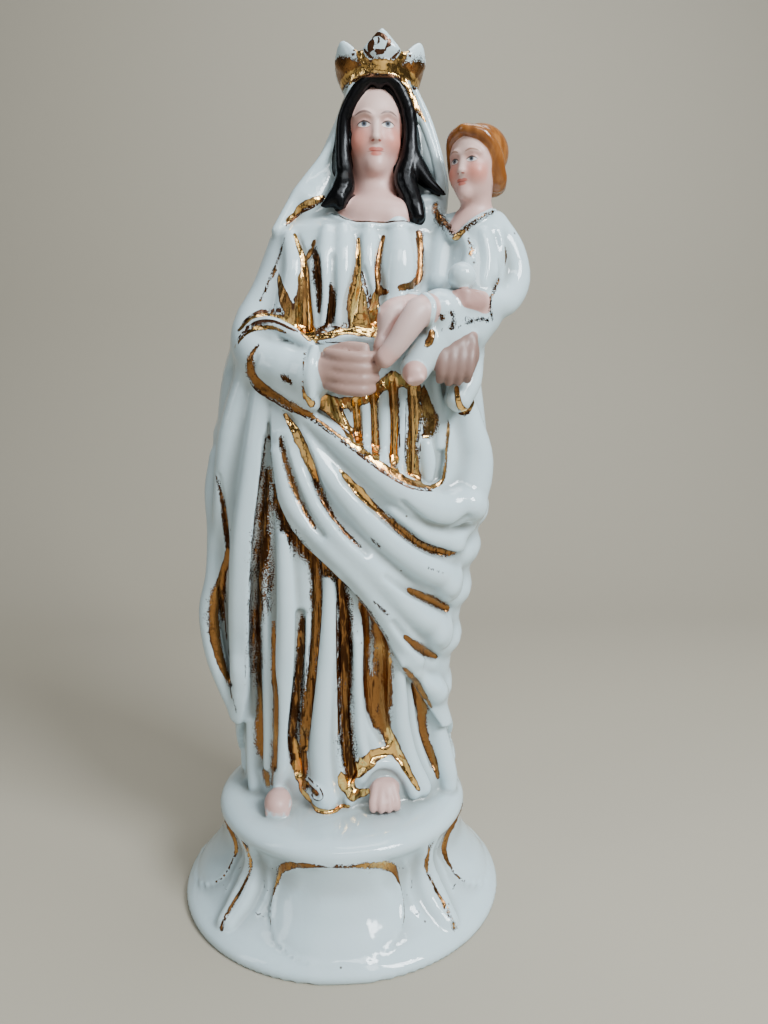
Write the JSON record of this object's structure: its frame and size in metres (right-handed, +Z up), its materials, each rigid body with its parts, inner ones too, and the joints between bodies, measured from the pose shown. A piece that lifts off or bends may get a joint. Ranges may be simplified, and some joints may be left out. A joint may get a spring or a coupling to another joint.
{
  "type": "madonna and child statue",
  "caption": "Glazed porcelain statuette of a crowned, veiled mother holding her child, standing on a round flared pedestal with gilded folds.",
  "frame": {"origin": "centre of the round foot's underside, on the table", "axes": "+Z up, the mother faces -Y, the child is on the +X side"},
  "size_m": [0.1482, 0.1427, 0.3604],
  "materials": {
    "madonna_and_child_statuette": "glossy white glaze with worn gilding, painted flesh, black and auburn hair"
  },
  "bodies": {
    "root": {"madonna_and_child_statuette": "madonna_and_child_statuette"}
  },
  "joints": []
}
